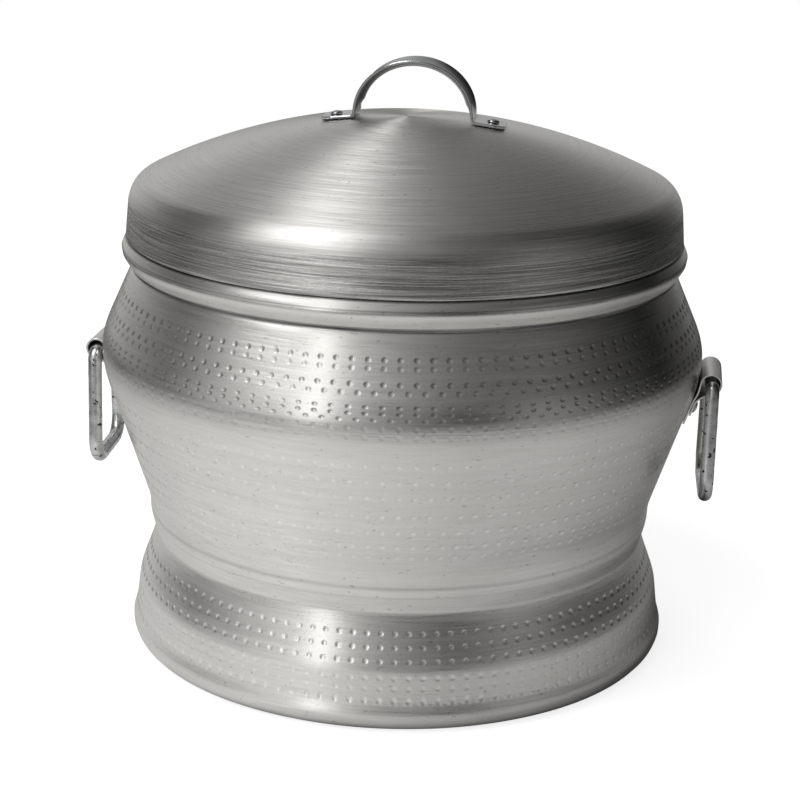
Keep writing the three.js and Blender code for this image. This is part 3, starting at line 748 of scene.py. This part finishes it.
bail_tree, given = shaping_tree("bent_rod", {
    "Rod Radius": "Float", "Sides": "Int", "Lumps": "Float", "Seed": "Float"})
tree = bail_tree
path = add_node(tree, "GeometryNodeMeshToCurve", links={0: given["Geometry"]}).outputs[0]
section = add_node(tree, "GeometryNodeCurvePrimitiveCircle", links={
    "Resolution": given["Sides"], "Radius": given["Rod Radius"]}).outputs[0]
rod = add_node(tree, "GeometryNodeCurveToMesh", links={
    "Curve": path, "Profile Curve": section, "Fill Caps": True}).outputs[0]
lumps = add_node(tree, "ShaderNodeTexNoise", {"noise_dimensions": "4D"}, {
    "Scale": 120.0, "Detail": 2.0, "W": given["Seed"]}).outputs[0]
swell = times(tree, sums(tree, "SUBTRACT", lumps, LUMP_MIDDLE), given["Lumps"])
smooth = add_node(tree, "GeometryNodeSetShadeSmooth", links={0: pushed(tree, rod, swell)})
end_tree(tree, smooth.outputs[0], galvanised)
for side, sign, askew, seed in BAILS:
    c, s = cos(radians(askew)), sin(radians(askew))
    path_points = [(sign * (bail_x - y * s) * MM, y * c * MM, (bail_z + z) * MM)
                   for y, z in bail_run]
    steps = len(path_points) - 1
    bail = mesh_object("bail_" + side + "_rod", path_points, [])
    bail.data.edges.add(steps)
    bail.data.edges.foreach_set("vertices", [n for i in range(steps) for n in (i, i + 1)])
    shaped(bail, bail_tree, rod_radius=ROD_R * MM, sides=ROD_SIDES, lumps=LUMPS * MM, seed=seed)
    bail.data.set_sharp_from_angle(angle=radians(50))
    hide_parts("bail_" + side)
    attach(bail, "bail_" + side)


# Steam plate: a loose pressed dish of aluminium that rests upside down on the waist, over water.
# Steam rises through four rings of drilled holes, and a finger lifts it by the hole in the middle.
PLATE_R, PLATE_SHEET, PLATE_FLANGE, PLATE_CORNER, PLATE_SIDES = 178.6, 1.6, 9, 4, 160
FINGER_HOLE_R, STEAM_HOLE_R, HOLE_SIDES, DRILL_L = 11, 3.5, 14, 8
RING_STEP, RINGS, FIRST_RING, SAME_POINT = 34, 4, 6, 0.002
plate_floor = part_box("steam_plate")[0][2] / MM
plate_top = plate_floor + PLATE_FLANGE
plate_outside = joined(
    np.linspace((PLATE_R, plate_floor), (PLATE_R, plate_top - PLATE_CORNER), 3),
    arc((PLATE_R - PLATE_CORNER, plate_top - PLATE_CORNER), PLATE_CORNER, 0, 90, 8),
    np.linspace((PLATE_R - PLATE_CORNER, plate_top), (FINGER_HOLE_R, plate_top), 14),
)
dish = Turned(PLATE_SIDES)
rings = dish.lathe(np.vstack([plate_outside, sideways(plate_outside, PLATE_SHEET)[::-1]]))
dish.band(rings[-1], rings[0])
steam_plate = mesh_object("steam_plate_pressed", dish.points, dish.faces)
holes = []
for k in range(1, RINGS + 1):
    for i in range(k * FIRST_RING):
        turn = 2 * pi * i / (k * FIRST_RING)
        holes.append((k * RING_STEP * cos(turn) * MM, k * RING_STEP * sin(turn) * MM,
                      plate_top * MM))

plain, tree, shader = bare_metal("plate_aluminium", 0.55)
marks = turning(tree, around=9.0, across=800.0, detail=4.0, bite=0.7)
sheen = between(tree, marks["Marks"], (0.68, 0.675, 0.66), (0.80, 0.795, 0.78))
dress_metal(tree, shader, between(tree, marks["Smudge"], sheen, (0.66, 0.65, 0.62), 0.5),
            spread(tree, marks["Smudge"], to_low=0.33, to_high=0.5),
            marks["Marks"], strength=0.12, depth=0.0003)

drill_tree, given = shaping_tree("steam_holes", {
    "Hole Radius": "Float", "Sides": "Int", "Depth": "Float", "Centres": "Object"})
tree = drill_tree
centres = add_node(tree, "GeometryNodeObjectInfo", {"transform_space": "ORIGINAL"}, {
    "Object": given["Centres"]}).outputs["Geometry"]
bit = add_node(tree, "GeometryNodeMeshCylinder", links={
    "Vertices": given["Sides"], "Radius": given["Hole Radius"], "Depth": given["Depth"]})
bits = add_node(tree, "GeometryNodeInstanceOnPoints", links={
    "Points": centres, "Instance": bit.outputs["Mesh"]}).outputs[0]
all_bits = add_node(tree, "GeometryNodeRealizeInstances", links={0: bits}).outputs[0]
cut = {"operation": "DIFFERENCE", "solver": "EXACT"}
drilled = add_node(tree, "GeometryNodeMeshBoolean", cut, {
    "Mesh 1": given["Geometry"], "Mesh 2": all_bits}).outputs[0]
# The cut leaves some points twice where a hole's corner lies on an edge of the plate.
single = add_node(tree, "GeometryNodeMergeByDistance", links={
    "Geometry": drilled, "Distance": SAME_POINT * MM}).outputs[0]
end_tree(tree, single, plain)
hole_places = mesh_object("steam_hole_places", holes, [])
shaped(steam_plate, drill_tree, hole_radius=STEAM_HOLE_R * MM, sides=HOLE_SIDES,
       depth=DRILL_L * MM, centres=hole_places)
bpy.data.objects.remove(hole_places)
steam_plate.data.set_sharp_from_angle(angle=radians(40))
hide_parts("steam_plate")
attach(steam_plate, "steam_plate")


# Lid: one disc of aluminium spun to a shallow dome with a short upright skirt, and sanded round and
# round on the lathe, coarsest on the skirt. A step inside its hem drops into the mouth and keeps it
# from sliding off.
LID_SHEET, LID_GAP, HEM_R, SKIRT_R, SKIRT_H, LID_SIDES = 1.5, 0.3, 197, 195, 23, 256
CROWN_R, CROWN_EDGE_R, LID_H = 420, 184, 83.5
STEP_R, STEP_DEPTH, STEP_EASE, STEP_CLEAR, SEAM_IN = 194.2, 12, 0.4, 0.5, 0.1
# Rounding of the hem: how far in from its edge, and how far up.
HEM_ROUND = ((1.1, 0), (0.5, 0.35), (0.1, 1.1))
# The sanding of the skirt fades out over these heights from the skirt's top.
SANDED_TO, SANDED_FROM = 12, -1
hem_z = RIM[1] + LID_GAP
lid_top = hem_z + LID_H
crown_z = lid_top - CROWN_R
edge_turn = np.degrees(np.arccos(CROWN_EDGE_R / CROWN_R))
crown = arc((0, crown_z), CROWN_R, edge_turn, 90, 44)
skirt_low, skirt_top = (HEM_R, hem_z), (SKIRT_R, hem_z + SKIRT_H)
lid_outside = joined(
    np.linspace(skirt_low, skirt_top, 8),
    blend(skirt_top, heading(skirt_low, skirt_top), crown[0], lean(edge_turn), steps=22),
    crown,
)[:-1]
lid_inside = sideways(lid_outside, LID_SHEET)
step_in, step_top, step_low = STEP_R - LID_SHEET, hem_z + LID_SHEET, hem_z - STEP_DEPTH
lid_profile = np.vstack([
    lid_inside[lid_inside[:, 1] > step_top + STEP_CLEAR][::-1],
    [(HEM_R - LID_SHEET - SEAM_IN, step_top), (step_in, step_top),
     (step_in, step_low + STEP_EASE), (step_in + STEP_EASE, step_low),
     (STEP_R - STEP_EASE, step_low), (STEP_R, step_low + STEP_EASE), (STEP_R, hem_z),
     *((HEM_R - inward, hem_z + up) for inward, up in HEM_ROUND)],
    lid_outside[1:],
])
dome = Turned(LID_SIDES)
rings = dome.lathe(lid_profile)
dome.close(rings[0], lid_top - LID_SHEET, outward=False)
dome.close(rings[-1], lid_top, outward=True)
lid_shell = mesh_object("lid_shell_spun", dome.points, dome.faces)

brushed, tree, shader = bare_metal("brushed_aluminium", 0.9)
marks = turning(tree, around=3.2, across=640.0, detail=6.0)
scores = turning(tree, around=1.4, across=150.0, detail=3.0)
both = sums(tree, "ADD", times(tree, marks["Marks"], 0.7), times(tree, scores["Marks"], 0.3))
sheen = between(tree, both, (0.55, 0.542, 0.52), (0.9, 0.89, 0.865))
clouded = between(tree, scores["Smudge"], sheen, (0.68, 0.665, 0.635), 0.3)
speckled = between(tree, specks(tree, scale=230.0, rarity=0.675), clouded, (0.3, 0.29, 0.27), 0.4)
height = split(tree, object_place(tree))[2]
on_skirt = spread(tree, height, (skirt_top[1] + SANDED_TO) * MM, (skirt_top[1] + SANDED_FROM) * MM,
                  smooth=True)
sanded = turning(tree, around=2.4, across=1100.0, detail=5.0)["Marks"]
lined = between(tree, sanded, (0.26, 0.254, 0.242), (0.84, 0.83, 0.804))
rough = spread(tree, both, to_low=0.33, to_high=0.45)
dress_metal(tree, shader, between(tree, on_skirt, speckled, lined),
            sums(tree, "MULTIPLY_ADD", on_skirt, -0.12, rough), both,
            strength=sums(tree, "MULTIPLY_ADD", on_skirt, 0.2, 0.3), depth=0.0004)
lid_shell.data.materials.append(brushed)
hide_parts("lid_shell")
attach(lid_shell, "lid")


# Lid handle: a 28 mm strip of bright aluminium sheet with a shallow channel pressed along it, bent
# to a round arch. Its two flat feet are turned out along the crown and their corners clipped. It
# sits a little to the right of the lid's middle.
HANDLE_SHEET, HANDLE_W, HANDLE_GAP, HALF_SPAN, ARCH_H, BEND, FOOT_L = 2, 28, 0.3, 41, 40, 3, 23
CLIP_ALONG, CLIP_ACROSS, OFF_CENTRE, LID_RIVET_FROM_END = 6, 3.6, 5, 9
CHANNEL_DEPTH, CHANNEL_FADE, HANDLE_EASE = 3.2, 0.25, 0.45
HANDLE_STATIONS = np.linspace(-0.85, 0.85, 9)
foot_middle, foot_end = HALF_SPAN + FOOT_L / 2, HALF_SPAN + FOOT_L
foot_touch = vec(foot_middle, crown_z + sqrt(CROWN_R**2 - foot_middle**2))
foot_out = heading((0, crown_z), foot_touch)
along_foot = vec(foot_out[1], -foot_out[0])
foot_lift = (HANDLE_GAP + HANDLE_SHEET / 2) * foot_out


# On the middle of the foot's sheet at that distance from the handle's middle.
def on_foot(x):
    return foot_touch + foot_lift + along_foot * (x - foot_middle) / along_foot[0]


spring = on_foot(HALF_SPAN)
arch_foot = vec(HALF_SPAN, spring[1] + BEND)
arch_top = lid_top + ARCH_H - HANDLE_SHEET / 2
arch_rise = arch_top - arch_foot[1]
turn = np.radians(np.linspace(90, 0, 41))
arch = np.column_stack([HALF_SPAN * np.cos(turn), arch_foot[1] + arch_rise * np.sin(turn)])
half_handle = joined(
    arch, rounded(arch_foot, spring, on_foot(HALF_SPAN + BEND), 8),
    np.linspace(on_foot(HALF_SPAN + BEND), on_foot(foot_end), 12),
)
handle_run = joined(half_handle[::-1], half_handle * (-1, 1))
clipped = np.clip((np.abs(handle_run[:, 0]) - (foot_end - CLIP_ALONG)) / CLIP_ALONG, 0, 1)
up_arch = (handle_run[:, 1] - arch_foot[1]) / arch_rise
about_crown = (Matrix.Translation((0, 0, crown_z * MM))
               @ Matrix.Rotation(OFF_CENTRE / CROWN_R, 4, "Y")
               @ Matrix.Translation((0, 0, -crown_z * MM)))
channel = CHANNEL_DEPTH * np.clip(up_arch / CHANNEL_FADE, 0, 1)
lid_handle = bent_sheet("lid_handle_bent", handle_run, HANDLE_SHEET,
                        HANDLE_W / 2 - CLIP_ACROSS * clipped, HANDLE_STATIONS,
                        ease=HANDLE_EASE, dish=channel)
lid_handle.data.transform(about_crown)

polished, tree, shader = bare_metal("polished_aluminium")
place = object_place(tree)
lines = noise(tree, stretched(tree, place, (60.0, 1100.0, 60.0)), 1.0, 4.0, 0.6)
haze = noise(tree, place, 85.0, 5.0)
dress_metal(tree, shader, between(tree, haze, (0.33, 0.333, 0.345), (0.66, 0.662, 0.665)),
            spread(tree, haze, 0.3, 0.7, 0.08, 0.2), lines, strength=0.1, depth=0.0002)
lid_handle.data.materials.append(polished)
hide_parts("lid_handle")
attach(lid_handle, "lid")


# Lid rivets: one domed aluminium rivet through each foot of the handle and the lid.
# They are the same rivets as on the straps, rubbed bright with the handle.
rivet_low = on_foot(foot_end - LID_RIVET_FROM_END) - foot_lift
seats = []
for sign in (1, -1):
    seat_at = about_crown @ Vector((sign * rivet_low[0] * MM, 0, rivet_low[1] * MM)) / MM
    way = about_crown.to_3x3() @ Vector((sign * foot_out[0], 0, foot_out[1]))
    seats.append((tuple(seat_at), tuple(way)))
lid_rivet = rivet_pattern("lid_rivet", HANDLE_SHEET + RIVET_PLAY, -LID_SHEET - RIVET_PLAY)
lid_rivets = rivet_set("lid_rivets_set", lid_rivet, seats)
lid_rivets.data.materials.clear()
lid_rivets.data.materials.append(polished)
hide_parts("lid_rivet_right", "lid_rivet_left")
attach(lid_rivets, "lid")


# Studio: a pale round floor, two soft keys high on the left, a tall strip light nearer the front,
# and a dim sky that is darkest on the right. The camera stands where the photograph was taken.
FOCAL_PX, PICTURE_PX, SENSOR_W = 1971.99, 800, 36
CAMERA_AWAY, CAMERA_UP = 1375.115, 599.81
PITCH, ROLL, PAN, ROUND = 0.3027, 0.022, -0.0007, radians(7.5)
# Brightness of the sky every 30 degrees from the back by way of the left, low down and overhead,
# and how far up, as a sine, the one passes into the other.
LOW_SKY = (0.51, 0.57, 0.33, 0.14, 0.53, 0.96, 0.23, 0.00, 0.30, 0.07, 0.00, 0.09)
HIGH_SKY = (0.38, 0.69, 0.00, 0.11, 0.44, 0.77, 0.37, 0.19, 0.08, 0.04, 0.00, 0.07)
SKY_TURNS = (0.1, 0.55)
# Painted light of the floor, seen only in reflections: its glow by bearing as for the sky, and by
# distance in metres from the middle of the pot's painted shadow, which falls to the right. The
# camera sees plain white paper.
FLOOR_ROUND = (0.45, 0.5, 0.56, 0.65, 0.77, 0.85, 0.73, 0.58, 0.54, 0.38, 0.2, 0.3)
FLOOR_AWAY = ((0.17, 0.1), (0.24, 0.75), (0.3, 0.95), (0.42, 1.0), (0.6, 0.95), (0.8, 0.6),
              (1.0, 0.35), (1.25, 0.06), (1.5, 0.0))
PAINTED_SHADOW_AT = (0.05, 0.02, 0.0)
FLOOR_RINGS, FLOOR_SIDES, FLOOR_DROP = (2000, 1400, 900, 400), 96, 0.5
PAPER, PAPER_GLOW, PAPER_IN_REFLECTIONS = (0.86, 0.86, 0.86), 0.8, (0.05, 0.05, 0.05)
# Soft lights: bearing from the camera, height, width, tallness and power.
SOFTBOXES = {
    "key_high": (-64, 66, 0.9, 0.9, 10.5),
    "key_left": (-61, 46, 0.9, 0.9, 5.8),
    "strip": (-31, 17, 0.35, 1.7, 2.4),
}
LIGHT_AWAY, LIGHT_AIM = 2.4, Vector((0, 0, 0.2))
ahead = Vector((sin(PAN) * cos(PITCH), cos(PAN) * cos(PITCH), -sin(PITCH)))
across = Vector((cos(PAN), -sin(PAN), 0))
above = across.cross(ahead)
camera_x = cos(ROLL) * across + sin(ROLL) * above
camera_y = cos(ROLL) * above - sin(ROLL) * across
axes = Matrix((camera_x, camera_y, -ahead)).transposed().to_4x4()
camera_data = bpy.data.cameras.new("studio_camera")
camera_data.sensor_width = SENSOR_W
camera_data.lens = SENSOR_W * FOCAL_PX / PICTURE_PX
camera = bpy.data.objects.new("studio_camera", camera_data)
bpy.context.scene.collection.objects.link(camera)
camera.matrix_world = (Matrix.Rotation(ROUND, 4, "Z")
                       @ Matrix.Translation((0, -CAMERA_AWAY * MM, CAMERA_UP * MM)) @ axes)
bpy.context.scene.camera = camera
bpy.context.scene.view_settings.view_transform = "Standard"
bpy.context.scene.view_settings.look = "None"

for name, (bearing, height, wide, tall, power) in SOFTBOXES.items():
    light = bpy.data.lights.new(name, "AREA")
    light.shape, light.size, light.size_y, light.energy = "RECTANGLE", wide, tall, power
    softbox = bpy.data.objects.new(name, light)
    bpy.context.scene.collection.objects.link(softbox)
    turn, lift = radians(bearing) + ROUND - pi / 2, radians(height)
    away = Vector((cos(turn) * cos(lift), sin(turn) * cos(lift), sin(lift)))
    softbox.location = away * LIGHT_AWAY + LIGHT_AIM
    softbox.rotation_euler = (-away).to_track_quat("-Z", "Y").to_euler()


# Brightness along a factor from 0 to 1, through stops of position and value.
def brightness(tree, factor, stops):
    ramp = add_node(tree, "ShaderNodeValToRGB", links={0: factor})
    marks = ramp.color_ramp.elements
    marks[0].position, marks[1].position = stops[0][0], stops[-1][0]
    for position, _ in stops[1:-1]:
        marks.new(position)
    for mark, (_, value) in zip(marks, stops):
        mark.color = (value, value, value, 1)
    return ramp.outputs[0]


# Brightness round the compass, from values every 30 degrees from the back by way of the left.
def brightness_round(tree, x, y, values):
    bearing = sums(tree, "ARCTAN2", x, times(tree, y, -1.0))
    stops = [(i / len(values), value) for i, value in enumerate((*values, values[0]))]
    return brightness(tree, spread(tree, bearing, -pi, pi), stops)


disc = Turned(FLOOR_SIDES)
disc.close(disc.lathe([(r, 0) for r in FLOOR_RINGS])[-1], 0, outward=True)
floor = mesh_object("studio_floor", disc.points, disc.faces)
floor.location.z = -FLOOR_DROP * MM
paper = bpy.data.materials.new("floor_paper")
paper.use_nodes = True
tree = paper.node_tree
shader = tree.nodes["Principled BSDF"]
for label, value in (("Roughness", 0.9), ("Specular IOR Level", 0.1),
                     ("Emission Color", (1, 1, 1, 1))):
    shader.inputs[label].default_value = value
place = object_place(tree)
# Painted light: in reflections the floor glows, with a painted shadow of the pot around this point.
away = add_node(tree, "ShaderNodeVectorMath", {"operation": "DISTANCE"}, {0: place, 1: PAINTED_SHADOW_AT})
x, y, _ = split(tree, place)
reach = FLOOR_AWAY[-1][0]
painted_glow_fade = brightness(tree, sums(tree, "DIVIDE", away.outputs["Value"], reach),
                    [(at / reach, value) for at, value in FLOOR_AWAY])
painted_floor_glow = times(tree, brightness_round(tree, x, y, FLOOR_ROUND), painted_glow_fade)
seen = add_node(tree, "ShaderNodeLightPath").outputs["Is Camera Ray"]
tree.links.new(between(tree, seen, PAPER_IN_REFLECTIONS, PAPER), shader.inputs["Base Color"])
tree.links.new(sums(tree, "MAXIMUM", painted_floor_glow, times(tree, seen, PAPER_GLOW)),
               shader.inputs["Emission Strength"])
floor.data.materials.append(paper)

sky = bpy.data.worlds.new("studio_sky")
bpy.context.scene.world = sky
sky.use_nodes = True
tree = sky.node_tree
x, y, z = split(tree, add_node(tree, "ShaderNodeTexCoord").outputs["Generated"])
low_sky, high_sky = (brightness_round(tree, x, y, values) for values in (LOW_SKY, HIGH_SKY))
grey = between(tree, spread(tree, z, *SKY_TURNS, smooth=True), low_sky, high_sky)
dim, white = (add_node(tree, "ShaderNodeBackground", links={"Color": colour, "Strength": 1.0})
              for colour in (grey, (1, 1, 1, 1)))
seen = add_node(tree, "ShaderNodeLightPath").outputs["Is Camera Ray"]
pick = add_node(tree, "ShaderNodeMixShader", links={
    0: seen, 1: dim.outputs[0], 2: white.outputs[0]})
tree.links.new(pick.outputs[0], tree.nodes["World Output"].inputs[0])
